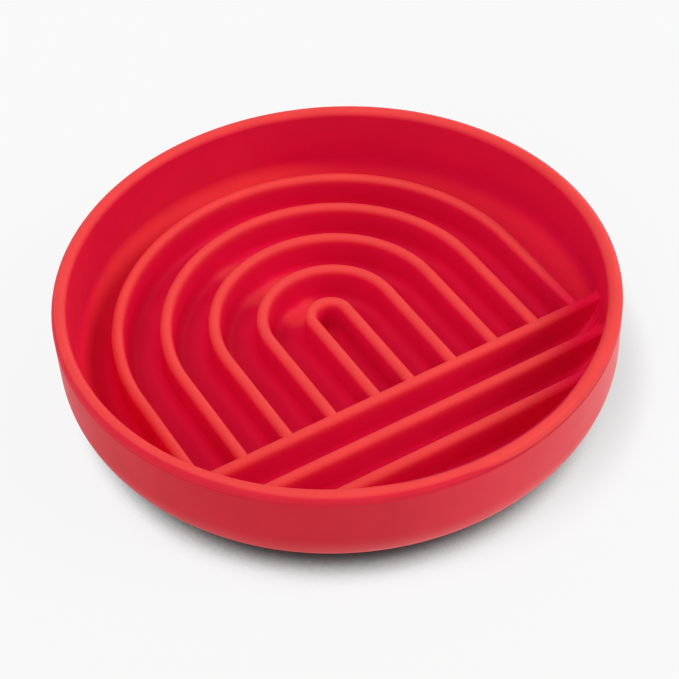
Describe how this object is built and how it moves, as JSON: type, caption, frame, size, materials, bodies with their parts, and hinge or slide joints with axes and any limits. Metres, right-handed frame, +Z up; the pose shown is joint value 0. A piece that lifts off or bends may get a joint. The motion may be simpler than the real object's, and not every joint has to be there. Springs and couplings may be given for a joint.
{
  "type": "slow feeder bowl",
  "caption": "Low round silicone pet bowl with a full-round rim; nested arched ribs and straight bars on its floor form channels that slow eating.",
  "frame": {"origin": "centre of the resting face, at the bottom of the bounding box", "axes": "+Z up out of the bowl, +Y towards the crown of the arches, straight bars along X"},
  "size_m": [0.206, 0.206, 0.0416],
  "materials": {
    "silicone_red": "satin moulded silicone rubber"
  },
  "bodies": {
    "root": {"side_wall": "silicone_red", "base_corner": "silicone_red", "floor_disc": "silicone_red", "foot_ring": "silicone_red", "arch_rib_1": "silicone_red", "arch_rib_2": "silicone_red", "arch_rib_3": "silicone_red", "arch_rib_4": "silicone_red", "arch_rib_5": "silicone_red", "straight_rib_1": "silicone_red", "straight_rib_2": "silicone_red", "straight_rib_3": "silicone_red"}
  },
  "joints": []
}
